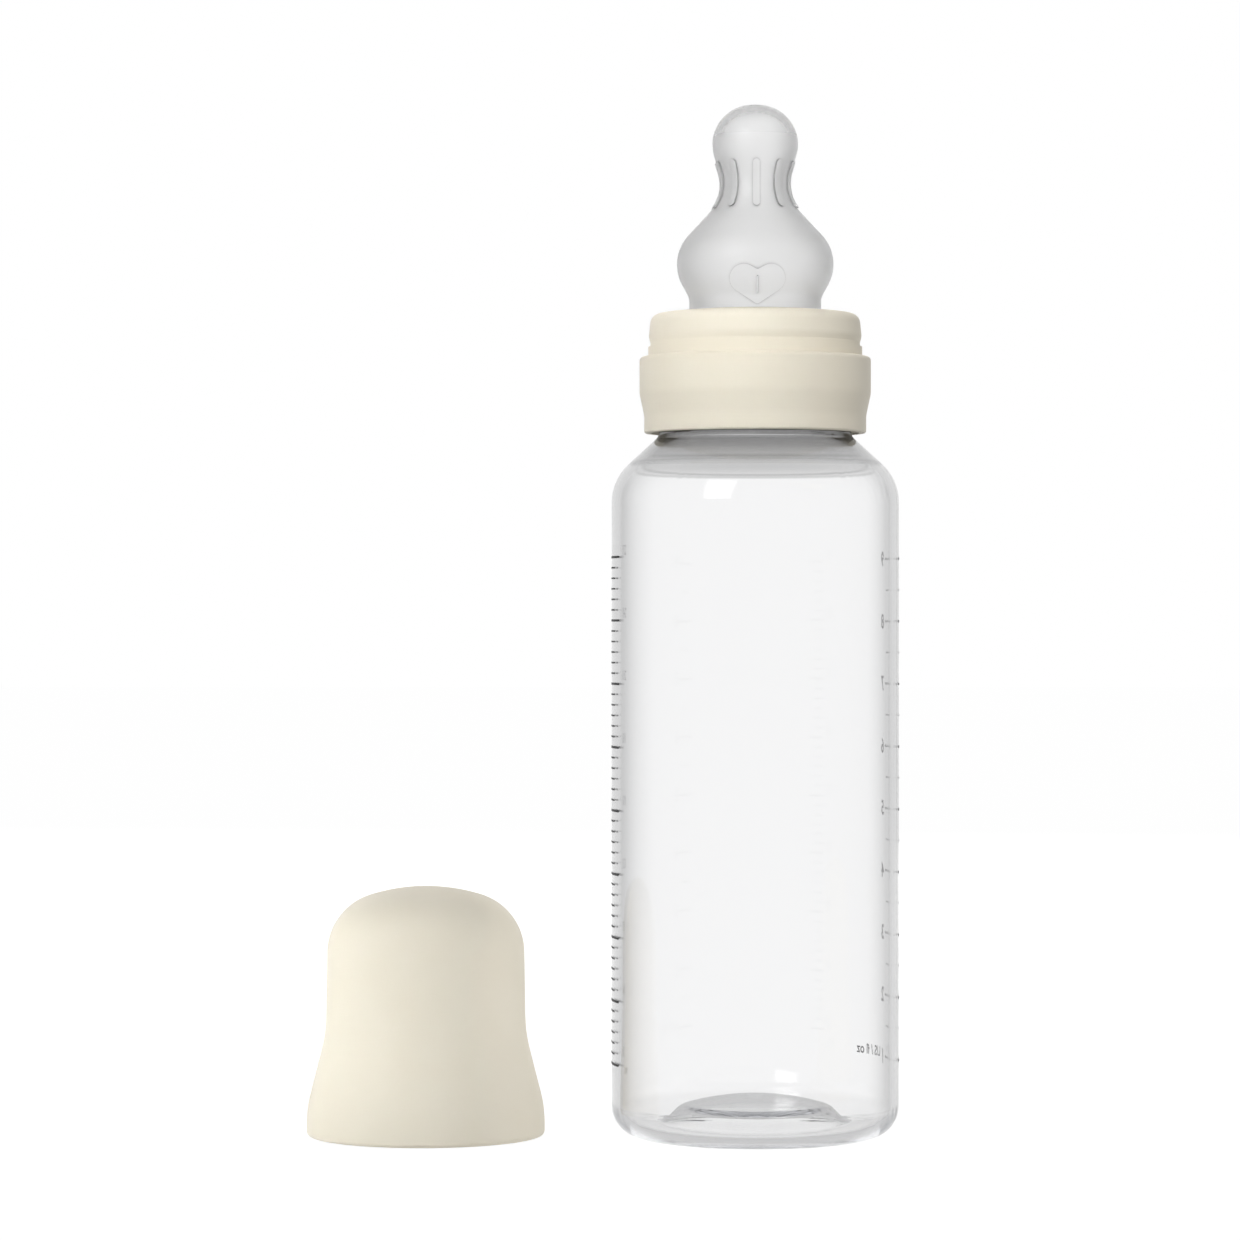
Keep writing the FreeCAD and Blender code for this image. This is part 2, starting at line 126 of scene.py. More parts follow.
def new_material(name: str) -> tuple[bpy.types.Material, bpy.types.NodeTree]:
    """Makes an empty node material.

    Args:
        name: The material's name.

    Returns:
        The material and its cleared node tree.
    """
    material = bpy.data.materials.new(name)
    material.use_nodes = True
    material.node_tree.nodes.clear()
    return material, material.node_tree


@dataclass(frozen=True)
class ClearCopolyester:
    """Blow-moulded clear copolyester: water-clear and glossy, faintly wavy, with rings of painted
    shade.

    Its colour is painted grey in a ring near the base and in a band under the neck, with a dark
    line at the band's foot: this grey is painted shade. The rings are heights in millimetres with
    the share of light that the wall lets through.
    """

    wave_mm: float = 16.0
    wave_high_mm: float = 0.6
    wave_bump: float = 0.05
    scuff_mm: float = 0.9
    scuff_levels: Span = (0.3, 0.8)
    scuff_rough: float = 0.05
    ior: float = 1.54
    depth_colour: str = "E4E5E8"
    depth_density: float = 48.0
    # Painted shade: heights in millimetres with the grey level painted into the base colour.
    painted_shade_rings: tuple[Span, ...] = (
        (0.0, 1.0),
        (1.0, 1.0),
        (2.0, 0.92),
        (5.5, 0.92),
        (7.0, 1.0),
        (135.6, 1.0),
        (135.8, 0.92),
        (135.92, 0.36),
        (136.1, 0.36),
        (136.3, 0.74),
        (138.0, 0.62),
        (140.5, 0.52),
        (142.5, 0.5),
        (146.0, 0.75),
        (150.0, 1.0),
    )

    def build(self) -> bpy.types.Material:
        """Makes the clear plastic.

        Returns:
            The material.
        """
        material, tree = new_material("clear_copolyester_blown")
        place = add_node(tree, "ShaderNodeTexCoord").outputs["Object"]
        wave = add_node(
            tree,
            "ShaderNodeTexNoise",
            inputs={
                "Vector": place,
                "Scale": 1.0 / (self.wave_mm * MM),
                "Detail": 1.0,
                "Roughness": 0.4,
            },
        )
        bump = add_node(
            tree,
            "ShaderNodeBump",
            inputs={
                "Height": wave.outputs["Fac"],
                "Strength": self.wave_bump,
                "Distance": self.wave_high_mm * MM,
            },
        )
        scuff = add_node(
            tree,
            "ShaderNodeTexNoise",
            inputs={"Vector": place, "Scale": 1.0 / (self.scuff_mm * MM), "Detail": 3.0},
        )
        gloss = add_node(
            tree,
            "ShaderNodeMapRange",
            inputs={
                "Value": scuff.outputs["Fac"],
                "From Min": self.scuff_levels[0],
                "From Max": self.scuff_levels[1],
                "To Max": self.scuff_rough,
            },
        )
        # The base colour carries the painted shade of the rings at the base and under the neck.
        surface = add_node(
            tree,
            "ShaderNodeBsdfPrincipled",
            inputs={
                "Base Color": height_ramp(tree, place, self.painted_shade_rings),
                "Transmission Weight": 1.0,
                "IOR": self.ior,
                "Roughness": gloss.outputs["Result"],
                "Normal": bump.outputs["Normal"],
            },
        )
        depth = add_node(
            tree,
            "ShaderNodeVolumeAbsorption",
            inputs={"Color": linear(self.depth_colour), "Density": self.depth_density},
        )
        add_node(
            tree,
            "ShaderNodeOutputMaterial",
            inputs={"Surface": surface.outputs["BSDF"], "Volume": depth.outputs["Volume"]},
        )
        return material


@dataclass(frozen=True)
class MouldedSilicone:
    """Liquid silicone from a blasted mould: milky and frosted, with a polished skin on its tip.

    Shade is painted into its colour: ambient occlusion greys the roots of the raised parts and the
    slit.
    The tip is polished only outside skin_mm from the ball's middle: its inner dome stays frosted.
    The mould's grain is drawn coarser than its real 0.05 mm, so that it shows.
    """

    colour: str = "FFFFFF"
    # Painted shade: the dark grey that creases and the slit are painted towards.
    painted_crease_shade: str = "101010"
    crease_mm: float = 0.85
    crease_levels: Span = (0.05, 0.92)
    crease_rays: int = 8
    grain_mm: float = 0.35
    grain_high_mm: float = 0.1
    grain_bump: float = 0.12
    polish_heights_mm: Span = (201.2, 204.8)
    ball_mm: float = 200.25
    skin_mm: float = 7.55
    skin_blur_mm: float = 0.1
    frosted: float = 0.3
    polished: float = 0.04
    milky: float = 0.9
    clear: float = 0.97
    ior: float = 1.41
    depth_colour: str = "E2E2E2"
    depth_density: float = 22.0

    def polish(self, tree: bpy.types.NodeTree, place: bpy.types.NodeSocket) -> bpy.types.NodeSocket:
        """Adds a value that is 1 on the polished skin of the tip and 0 elsewhere.

        Args:
            tree: The tree that gets the nodes.
            place: The Object coordinates.

        Returns:
            The value's socket.
        """
        height = add_node(tree, "ShaderNodeSeparateXYZ", inputs={"Vector": place}).outputs["Z"]
        high = add_node(
            tree,
            "ShaderNodeMapRange",
            {"interpolation_type": "SMOOTHSTEP"},
            {
                "Value": height,
                "From Min": self.polish_heights_mm[0] * MM,
                "From Max": self.polish_heights_mm[1] * MM,
            },
        )
        off = add_node(
            tree,
            "ShaderNodeVectorMath",
            {"operation": "DISTANCE"},
            {0: place, 1: (0.0, 0.0, self.ball_mm * MM)},
        )
        skin = add_node(
            tree,
            "ShaderNodeMapRange",
            inputs={
                "Value": off.outputs["Value"],
                "From Min": (self.skin_mm - self.skin_blur_mm) * MM,
                "From Max": (self.skin_mm + self.skin_blur_mm) * MM,
            },
        )
        both = add_node(
            tree,
            "ShaderNodeMath",
            {"operation": "MULTIPLY"},
            {0: high.outputs["Result"], 1: skin.outputs["Result"]},
        )
        return both.outputs[0]

    def tint(self, tree: bpy.types.NodeTree) -> bpy.types.NodeSocket:
        """Adds the colour, with painted shade: it turns grey in narrow creases and in the slit.

        Args:
            tree: The tree that gets the nodes.

        Returns:
            The colour's socket.
        """
        # Painted shade: ambient occlusion within crease_mm darkens the colour in creases and in the
        # slit.
        open_air = add_node(
            tree,
            "ShaderNodeAmbientOcclusion",
            {"samples": self.crease_rays, "only_local": True},
            {"Distance": self.crease_mm * MM},
        )
        bright = add_node(
            tree,
            "ShaderNodeMapRange",
            inputs={
                "Value": open_air.outputs["AO"],
                "From Min": self.crease_levels[0],
                "From Max": self.crease_levels[1],
            },
        )
        mix = add_node(
            tree,
            "ShaderNodeMix",
            {"data_type": "RGBA"},
            {
                "Factor": bright.outputs["Result"],
                "A": linear(self.painted_crease_shade),
                "B": linear(self.colour),
            },
        )
        return mix.outputs["Result"]

    def build(self) -> bpy.types.Material:
        """Makes the silicone.

        Returns:
            The material.
        """
        material, tree = new_material("liquid_silicone_frosted")
        place = add_node(tree, "ShaderNodeTexCoord").outputs["Object"]
        polish = self.polish(tree, place)
        rough = add_node(
            tree,
            "ShaderNodeMapRange",
            inputs={"Value": polish, "To Min": self.frosted, "To Max": self.polished},
        )
        clear = add_node(
            tree,
            "ShaderNodeMapRange",
            inputs={"Value": polish, "To Min": self.milky, "To Max": self.clear},
        )
        grain = add_node(
            tree,
            "ShaderNodeTexNoise",
            inputs={"Vector": place, "Scale": 1.0 / (self.grain_mm * MM), "Detail": 2.0},
        )
        relief = add_node(
            tree,
            "ShaderNodeMapRange",
            inputs={"Value": polish, "To Min": self.grain_bump, "To Max": 0.0},
        )
        bump = add_node(
            tree,
            "ShaderNodeBump",
            inputs={
                "Height": grain.outputs["Fac"],
                "Strength": relief.outputs["Result"],
                "Distance": self.grain_high_mm * MM,
            },
        )
        surface = add_node(
            tree,
            "ShaderNodeBsdfPrincipled",
            inputs={
                "Base Color": self.tint(tree),
                "Transmission Weight": clear.outputs["Result"],
                "IOR": self.ior,
                "Roughness": rough.outputs["Result"],
                "Normal": bump.outputs["Normal"],
            },
        )
        depth = add_node(
            tree,
            "ShaderNodeVolumeAbsorption",
            inputs={"Color": linear(self.depth_colour), "Density": self.depth_density},
        )
        add_node(
            tree,
            "ShaderNodeOutputMaterial",
            inputs={"Surface": surface.outputs["BSDF"], "Volume": depth.outputs["Volume"]},
        )
        return material


@dataclass(frozen=True)
class MattePolypropylene:
    """Cream polypropylene from a finely blasted mould: soft, even colour with a dull satin sheen.

    The mould's grain is drawn coarser than its real 0.05 mm, so that it shows.
    """

    colour: str = "F2EBDA"
    shade: str = "EFE7D4"
    cloud_mm: float = 9.0
    grain_mm: float = 0.45
    grain_high_mm: float = 0.1
    grain_bump: float = 0.06
    rough: Span = (0.5, 0.64)
    ior: float = 1.49

    def build(self) -> bpy.types.Material:
        """Makes the cream plastic.

        Returns:
            The material.
        """
        material, tree = new_material("polypropylene_cream_matte")
        place = add_node(tree, "ShaderNodeTexCoord").outputs["Object"]
        cloud = add_node(
            tree,
            "ShaderNodeTexNoise",
            inputs={"Vector": place, "Scale": 1.0 / (self.cloud_mm * MM), "Detail": 2.0},
        )
        tint = add_node(
            tree,
            "ShaderNodeMix",
            {"data_type": "RGBA"},
            {"Factor": cloud.outputs["Fac"], "A": linear(self.colour), "B": linear(self.shade)},
        )
        grain = add_node(
            tree,
            "ShaderNodeTexNoise",
            inputs={
                "Vector": place,
                "Scale": 1.0 / (self.grain_mm * MM),
                "Detail": 3.0,
                "Roughness": 0.6,
            },
        )
        rough = add_node(
            tree,
            "ShaderNodeMapRange",
            inputs={
                "Value": grain.outputs["Fac"],
                "To Min": self.rough[0],
                "To Max": self.rough[1],
            },
        )
        bump = add_node(
            tree,
            "ShaderNodeBump",
            inputs={
                "Height": grain.outputs["Fac"],
                "Strength": self.grain_bump,
                "Distance": self.grain_high_mm * MM,
            },
        )
        surface = add_node(
            tree,
            "ShaderNodeBsdfPrincipled",
            inputs={
                "Base Color": tint.outputs["Result"],
                "IOR": self.ior,
                "Roughness": rough.outputs["Result"],
                "Normal": bump.outputs["Normal"],
            },
        )
        add_node(tree, "ShaderNodeOutputMaterial", inputs={"Surface": surface.outputs["BSDF"]})
        return material


@dataclass(frozen=True)
class PadPrintInk:
    """Black pad-printing ink: a thin, slightly uneven, satin film."""

    colour: str = "141416"
    thin: str = "232326"
    mottle_mm: float = 0.6
    rough: Span = (0.35, 0.55)
    shine: float = 0.1

    def build(self) -> bpy.types.Material:
        """Makes the ink.

        Returns:
            The material.
        """
        material, tree = new_material("pad_print_ink_black")
        place = add_node(tree, "ShaderNodeTexCoord").outputs["Object"]
        mottle = add_node(
            tree,
            "ShaderNodeTexNoise",
            inputs={"Vector": place, "Scale": 1.0 / (self.mottle_mm * MM), "Detail": 2.0},
        )
        tint = add_node(
            tree,
            "ShaderNodeMix",
            {"data_type": "RGBA"},
            {"Factor": mottle.outputs["Fac"], "A": linear(self.colour), "B": linear(self.thin)},
        )
        rough = add_node(
            tree,
            "ShaderNodeMapRange",
            inputs={
                "Value": mottle.outputs["Fac"],
                "To Min": self.rough[0],
                "To Max": self.rough[1],
            },
        )
        surface = add_node(
            tree,
            "ShaderNodeBsdfPrincipled",
            inputs={
                "Base Color": tint.outputs["Result"],
                "Roughness": rough.outputs["Result"],
                "Specular IOR Level": self.shine,
            },
        )
        add_node(tree, "ShaderNodeOutputMaterial", inputs={"Surface": surface.outputs["BSDF"]})
        return material


def piece_from(name: str, mesh: bpy.types.Mesh, smooth: bool) -> bpy.types.Object:
    """Adds a finished mesh to the scene as a piece.

    Args:
        name: The piece's name.
        mesh: Its mesh, already in place.
        smooth: Whether its faces are shaded smooth.

    Returns:
        The new object.
    """
    mesh.name = name
    for face in mesh.polygons:
        face.use_smooth = smooth
    piece = bpy.data.objects.new(name, mesh)
    bpy.context.scene.collection.objects.link(piece)
    return piece


def evaluated_mesh(carrier: bpy.types.Object) -> bpy.types.Mesh:
    """Gives what an object evaluates to as a plain mesh, and removes the object.

    Args:
        carrier: A text or a mesh with a modifier, not yet in the scene.

    Returns:
        The mesh.
    """
    bpy.context.scene.collection.objects.link(carrier)
    evaluated = carrier.evaluated_get(bpy.context.evaluated_depsgraph_get())
    mesh = bpy.data.meshes.new_from_object(evaluated)
    bpy.data.objects.remove(carrier)
    return mesh


def facing_out(piece: bpy.types.Object) -> None:
    """Merges a piece's doubles and turns its faces outwards.

    Args:
        piece: The piece, a closed mesh.
    """
    work = bmesh.new()
    work.from_mesh(piece.data)
    bmesh.ops.remove_doubles(work, verts=work.verts, dist=0.001 * MM)
    bmesh.ops.recalc_face_normals(work, faces=work.faces)
    work.to_mesh(piece.data)
    work.free()


def paint_node(node: str, material: bpy.types.Material) -> None:
    """Gives a CAD node its material.

    Args:
        node: The node's name.
        material: The finish for all its slots.
    """
    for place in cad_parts[node].material_slots:
        place.material = material


class NodeShape:
    """A Geometry Nodes tree that makes one piece from named sizes."""

    def __init__(self, name: str) -> None:
        """Starts a tree that gives one geometry.

        Args:
            name: The tree's name.
        """
        self.tree = bpy.data.node_groups.new(name, "GeometryNodeTree")
        self.sockets: dict[str, str] = {}
        self.entry = add_node(self.tree, "NodeGroupInput")
        self.tree.interface.new_socket(
            "Geometry", in_out="OUTPUT", socket_type="NodeSocketGeometry"
        )

    def size(self, label: str, kind: str = "NodeSocketFloat") -> bpy.types.NodeSocket:
        """Adds a named input to the tree.

        Args:
            label: The input's name.
            kind: Its socket type.

        Returns:
            The socket that gives its value inside the tree.
        """
        item = self.tree.interface.new_socket(label, in_out="INPUT", socket_type=kind)
        self.sockets[label] = item.identifier
        return next(s for s in self.entry.outputs if s.identifier == item.identifier)

    def close(self, geometry: bpy.types.NodeSocket) -> None:
        """Ends the tree in real geometry with its material.

        Args:
            geometry: What the tree has made.
        """
        finish = self.size("Finish", "NodeSocketMaterial")
        real = add_node(self.tree, "GeometryNodeRealizeInstances", inputs={"Geometry": geometry})
        dressed = add_node(
            self.tree,
            "GeometryNodeSetMaterial",
            inputs={"Geometry": real.outputs["Geometry"], "Material": finish},
        )
        add_node(self.tree, "NodeGroupOutput", inputs={"Geometry": dressed.outputs["Geometry"]})

    def make(self, name: str, smooth: bool, **sizes: Any) -> bpy.types.Object:
        """Runs the tree once and keeps its result as a plain mesh.

        Args:
            name: The piece's name.
            smooth: Whether its faces are shaded smooth.
            **sizes: A value for each named input, with spaces as underscores.

        Returns:
            The finished piece.
        """
        carrier = bpy.data.objects.new(f"{name}_maker", bpy.data.meshes.new(f"{name}_maker"))
        maker = carrier.modifiers.new("maker", "NODES")
        maker.node_group = self.tree
        for label, value in sizes.items():
            maker[self.sockets[label.replace("_", " ")]] = value
        return piece_from(name, evaluated_mesh(carrier), smooth)


def tick_shape() -> NodeShape:
    """Makes the tree for a column of printed ticks that lie on a barrel.

    Returns:
        The tree, with its named sizes.
    """
    shape = NodeShape("barrel_ticks")
    tree = shape.tree
    count = shape.size("Count", "NodeSocketInt")
    skip = shape.size("Leave out every", "NodeSocketInt")
    pitch, first = shape.size("Pitch"), shape.size("First height")
    inside, outside = shape.size("Inner radius"), shape.size("Outer radius")
    start, end = shape.size("Start angle"), shape.size("End angle")
    block = add_node(
        tree, "ShaderNodeCombineXYZ", inputs={"X": 1.0, "Y": 1.0, "Z": shape.size("Stroke")}
    )
    bar = add_node(
        tree,
        "GeometryNodeMeshCube",
        inputs={
            "Size": block.outputs["Vector"],
            "Vertices X": 12,
            "Vertices Y": 2,
            "Vertices Z": 2,
        },
    )
    place = add_node(tree, "GeometryNodeInputPosition").outputs["Position"]
    own = add_node(tree, "ShaderNodeSeparateXYZ", inputs={"Vector": place})
    # The bar's length goes round the barrel, and its width inwards, so that its faces point out.
    angle, out = (
        add_node(
            tree,
            "ShaderNodeMapRange",
            inputs={
                "Value": own.outputs[axis],
                "From Min": -0.5,
                "From Max": 0.5,
                "To Min": low,
                "To Max": high,
            },
        ).outputs["Result"]
        for axis, low, high in (("X", start, end), ("Y", outside, inside))
    )
    spoke = add_node(tree, "ShaderNodeCombineXYZ", inputs={"X": out, "Z": own.outputs["Z"]})
    turned = add_node(
        tree,
        "ShaderNodeVectorRotate",
        {"rotation_type": "Z_AXIS"},
        {"Vector": spoke.outputs["Vector"], "Angle": angle},
    )
    curved = add_node(
        tree,
        "GeometryNodeSetPosition",
        inputs={"Geometry": bar.outputs["Mesh"], "Position": turned.outputs["Vector"]},
    )
    base = add_node(tree, "ShaderNodeCombineXYZ", inputs={"Z": first})
    step = add_node(tree, "ShaderNodeCombineXYZ", inputs={"Z": pitch})
    column = add_node(
        tree,
        "GeometryNodeMeshLine",
        inputs={
            "Count": count,
            "Start Location": base.outputs["Vector"],
            "Offset": step.outputs["Vector"],
        },
    )
    number = add_node(tree, "GeometryNodeInputIndex").outputs["Index"]
    rest = add_node(tree, "ShaderNodeMath", {"operation": "MODULO"}, {0: number, 1: skip})
    between = add_node(
        tree,
        "FunctionNodeCompare",
        {"data_type": "FLOAT", "operation": "GREATER_THAN"},
        {0: rest.outputs[0], 1: 0.5},
    )
    every = add_node(
        tree,
        "FunctionNodeCompare",
        {"data_type": "INT", "operation": "LESS_EQUAL"},
        {2: skip, 3: 1},
    )
    kept = add_node(
        tree,
        "FunctionNodeBooleanMath",
        {"operation": "OR"},
        {0: between.outputs[0], 1: every.outputs[0]},
    )
    ticks = add_node(
        tree,
        "GeometryNodeInstanceOnPoints",
        inputs={
            "Points": column.outputs["Mesh"],
            "Selection": kept.outputs[0],
            "Instance": curved.outputs["Geometry"],
        },
    )
    shape.close(ticks.outputs["Instances"])
    return shape


def ridge_shape() -> NodeShape:
    """Makes the tree for a screw ridge that winds up a wall and fades out at both ends.

    Returns:
        The tree, with its named sizes.
    """
    shape = NodeShape("screw_ridge")
    tree = shape.tree
    turns, rise, base = shape.size("Turns"), shape.size("Rise"), shape.size("First height")
    root, stand = shape.size("Root radius"), shape.size("Stand")
    half_foot, half_crest = shape.size("Half foot"), shape.size("Half crest")
    fade_share, end_scale = shape.size("Fade share"), shape.size("End scale")
    path = add_node(
        tree,
        "GeometryNodeCurveSpiral",
        inputs={
            "Resolution": 96,
            "Rotations": turns,
            "Start Radius": root,
            "End Radius": root,
            "Height": rise,
            "Reverse": True,
        },
    )
    upright = add_node(
        tree, "GeometryNodeSetCurveNormal", {"mode": "Z_UP"}, {"Curve": path.outputs["Curve"]}
    )
    along = add_node(tree, "GeometryNodeSplineParameter").outputs["Factor"]
    nearest_end = add_node(tree, "ShaderNodeMath", {"operation": "PINGPONG"}, {0: along, 1: 0.5})
    fade = add_node(
        tree,
        "ShaderNodeMapRange",
        {"interpolation_type": "SMOOTHSTEP"},
        {"Value": nearest_end.outputs[0], "From Max": fade_share, "To Min": end_scale},
    )
    upper = {"Point 4": {"Y": half_foot}, "Point 3": {"X": stand, "Y": half_crest}}
    corners = {
        label: add_node(tree, "ShaderNodeCombineXYZ", inputs=reach).outputs["Vector"]
        for label, reach in upper.items()
    }
    for label, mirrored in (("Point 1", "Point 4"), ("Point 2", "Point 3")):
        lower = add_node(
            tree,
            "ShaderNodeVectorMath",
            {"operation": "MULTIPLY"},
            {0: corners[mirrored], 1: (1.0, -1.0, 1.0)},
        )
        corners[label] = lower.outputs["Vector"]
    section = add_node(
        tree, "GeometryNodeCurvePrimitiveQuadrilateral", {"mode": "POINTS"}, corners
    )
    ridge = add_node(
        tree,
        "GeometryNodeCurveToMesh",
        inputs={
            "Curve": upright.outputs["Curve"],
            "Profile Curve": section.outputs["Curve"],
            "Scale": fade.outputs["Result"],
            "Fill Caps": True,
        },
    )
    lift = add_node(tree, "ShaderNodeCombineXYZ", inputs={"Z": base})
    placed = add_node(
        tree,
        "GeometryNodeTransform",
        inputs={"Geometry": ridge.outputs["Mesh"], "Translation": lift.outputs["Vector"]},
    )
    shape.close(placed.outputs["Geometry"])
    return shape


class Side(Enum):
    """Which side of a round wall a ridge stands on."""

    OUTSIDE = 1.0
    INSIDE = -1.0


@dataclass(frozen=True)
class ScrewRidge:
    """The screw's ridge, the same on the neck and in the collar, sunk a little into its wall."""

    turns: float = 1.5
    lead_mm: float = 6.0
    stand_mm: float = 1.1
    sunk_mm: float = 0.1
    foot_mm: float = 2.0
    crest_mm: float = 0.9
    fade_share: float = 0.07
    end_scale: float = 0.05

    def wind(
        self, name: str, wall_mm: float, first_mm: float, side: Side, finish: bpy.types.Material
    ) -> bpy.types.Object:
        """Winds the ridge up a wall.

        Args:
            name: The piece's name.
            wall_mm: Radius of the wall.
            first_mm: Height at which the ridge starts.
            side: The side of the wall that it stands on.
            finish: Its material.

        Returns:
            The finished ridge.
        """
        ridge = ridge_shape().make(
            name,
            True,
            Turns=self.turns,
            Rise=self.turns * self.lead_mm * MM,
            First_height=first_mm * MM,
            Root_radius=(wall_mm - side.value * self.sunk_mm) * MM,
            Stand=side.value * (self.stand_mm + self.sunk_mm) * MM,
            Half_foot=0.5 * self.foot_mm * MM,
            Half_crest=0.5 * self.crest_mm * MM,
            Fade_share=self.fade_share,
            End_scale=self.end_scale,
            Finish=finish,
        )
        facing_out(ridge)
        return ridge


class Align(Enum):
    """Which end of a word stays at its place on the barrel."""

    LEFT = "LEFT"
    CENTER = "CENTER"
    RIGHT = "RIGHT"


@dataclass(frozen=True)
class Ticks:
    """Ticks of one length: how many steps lead from mark to mark, and where and how they lie.

    Angles are degrees round from the front, positive to the right.
    """

    steps: int
    start: float
    sweep: float
    stroke_mm: float


@dataclass(frozen=True)
class Lettering:
    """How a number or unit is printed: its capitals' height, its place and its thickened strokes.

    The angle is as for the ticks, and the rise is from the mark to the middle of the word.
    """

    tall_mm: float
    angle: float
    rise_mm: float
    align: Align
    bold_mm: float = 0.0


@dataclass(frozen=True)
class PrintedScale:
    """A printed scale: its first mark and the step to the next, its ticks, numbers and unit."""

    name: str
    unit_text: str
    per_mark: int
    first_mm: float
    step_mm: float
    long: Ticks
    short: Ticks
    number: Lettering
    unit: Lettering


MILLILITRES = PrintedScale(
    name="ml",
    unit_text="ml",
    per_mark=30,
    first_mm=15.0,
    step_mm=12.73,
    long=Ticks(steps=1, start=-91.0, sweep=19.0, stroke_mm=0.46),
    short=Ticks(steps=6, start=-91.0, sweep=12.5, stroke_mm=0.34),
    number=Lettering(tall_mm=2.0, angle=-96.0, rise_mm=1.6, align=Align.RIGHT),
    unit=Lettering(tall_mm=2.0, angle=-104.0, rise_mm=-2.2, align=Align.CENTER),
)
FLUID_OUNCES = PrintedScale(
    name="oz",
    unit_text="US / fl oz",
    per_mark=1,
    first_mm=15.6,
    step_mm=12.62,
    long=Ticks(steps=1, start=82.0, sweep=18.0, stroke_mm=0.46),
    short=Ticks(steps=2, start=86.0, sweep=12.0, stroke_mm=0.34),
    number=Lettering(tall_mm=2.9, angle=104.0, rise_mm=0.0, align=Align.CENTER, bold_mm=0.1),
    unit=Lettering(tall_mm=2.0, angle=107.5, rise_mm=0.7, align=Align.LEFT, bold_mm=0.03),
)


@dataclass(frozen=True)
class BarrelPrint:
    """The printed scales: millilitres at the left and fluid ounces at the right of the barrel."""

    scales: tuple[PrintedScale, ...] = (MILLILITRES, FLUID_OUNCES)
    marks: int = 9
    radius_mm: float = 29.0
    film_mm: float = 0.03
    lift_mm: float = 0.015
    word_lift_mm: float = 0.02
    capital_share: float = 0.7

    def ticks(self, ink: bpy.types.Material) -> list[bpy.types.Object]:
        """Prints the columns of long and short ticks.

        Args:
            ink: The printing ink.

        Returns:
            The printed pieces.
        """
        shape = tick_shape()
        front = -90.0
        return [
            shape.make(
                f"{scale.name}_ticks_{length}",
                False,
                Count=(self.marks - 1) * ticks.steps + 1,
                Leave_out_every=ticks.steps,
                Pitch=scale.step_mm / ticks.steps * MM,
                First_height=scale.first_mm * MM,
                Inner_radius=(self.radius_mm + self.lift_mm) * MM,
                Outer_radius=(self.radius_mm + self.lift_mm + self.film_mm) * MM,
                Start_angle=math.radians(front + ticks.start),
                End_angle=math.radians(front + ticks.start + ticks.sweep),
                Stroke=ticks.stroke_mm * MM,
                Finish=ink,
            )
            for scale in self.scales
            for length, ticks in (("long", scale.long), ("short", scale.short))
        ]

    def word(self, name: str, text: str, look: Lettering, mark_mm: float) -> bpy.types.Object:
        """Prints a word or number on the barrel.

        Args:
            name: The piece's name.
            text: What it says.
            look: How it is printed.
            mark_mm: Height of the mark that it belongs to.

        Returns:
            The printed piece, without its ink.
        """
        curve = bpy.data.curves.new(name, "FONT")
        curve.body = text
        curve.size = look.tall_mm * MM / self.capital_share
        curve.offset = look.bold_mm * MM
        curve.align_x = look.align.value
        curve.extrude = 0.5 * self.film_mm * MM
        curve.resolution_u = 6
        mesh = evaluated_mesh(bpy.data.objects.new(f"{name}_maker", curve))
        reach = (self.radius_mm + self.lift_mm + 0.5 * self.film_mm) * MM
        heights = [vertex.co.y for vertex in mesh.vertices]
        lift = (mark_mm + look.rise_mm) * MM - 0.5 * (min(heights) + max(heights))
        for vertex in mesh.vertices:
            x, y, z = vertex.co
            turn = math.radians(look.angle) + x / reach
            out = reach + z + self.word_lift_mm * MM
            vertex.co = Vector((out * math.sin(turn), -out * math.cos(turn), y + lift))
        return piece_from(name, mesh, False)

    def words(self, ink: bpy.types.Material) -> list[bpy.types.Object]:
        """Prints the numbers and the units.

        Args:
            ink: The printing ink.

        Returns:
            The printed pieces.
        """
        made = [
            self.word(
                f"{scale.name}_number_{mark}",
                str(mark * scale.per_mark),
                scale.number,
                scale.first_mm + (mark - 1) * scale.step_mm,
            )
            for mark in range(1, self.marks + 1)
            for scale in self.scales
        ]
        made += [
            self.word(f"{scale.name}_unit", scale.unit_text, scale.unit, scale.first_mm)
            for scale in self.scales
        ]
        for piece in made:
            piece.data.materials.append(ink)
        return made


@dataclass(frozen=True)
class Bottle:
    """The clear bottle with the screw ridge on its neck and its printed scales."""

    neck_mm: float = 19.45
    ridge_start_mm: float = 146.2

    def dress(
        self, plastic: bpy.types.Material, ink: bpy.types.Material
    ) -> list[bpy.types.Object]:
        """Gives the bottle its plastic, its screw ridge and its print.

        Args:
            plastic: The clear plastic.
            ink: The printing ink.

        Returns:
            The new pieces.
        """
        paint_node("bottle_body", plastic)
        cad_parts["bottle_body"].visible_shadow = False
        ridge = ScrewRidge().wind(
            "neck_screw_ridge", self.neck_mm, self.ridge_start_mm, Side.OUTSIDE, plastic
        )
        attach(ridge, "bottle")
        prints = BarrelPrint()
        printed = prints.ticks(ink) + prints.words(ink)
        for piece in printed:
            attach(piece, "bottle")
        return [ridge, *printed]


@dataclass(frozen=True)
class Head:
    """The silicone teat and the screw collar with the ridge inside its skirt."""

    bore_mm: float = 21.05
    ridge_start_mm: float = 143.9

    def dress(
        self, silicone: bpy.types.Material, cream: bpy.types.Material
    ) -> list[bpy.types.Object]:
        """Gives the teat and collar their finishes, and the collar its screw ridge.

        Args:
            silicone: The teat's silicone.
            cream: The collar's plastic.

        Returns:
            The new pieces.
        """
        paint_node("teat", silicone)
        paint_node("screw_collar", cream)
        ridge = ScrewRidge().wind(
            "collar_screw_ridge", self.bore_mm, self.ridge_start_mm, Side.INSIDE, cream
        )
        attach(ridge, "collar")
        return [ridge]


class LampUse(Enum):
    """What a lamp is for: it lights the pieces, or is only mirrored in them."""

    LIGHTS = "lights"
    MIRRORED = "mirrored"


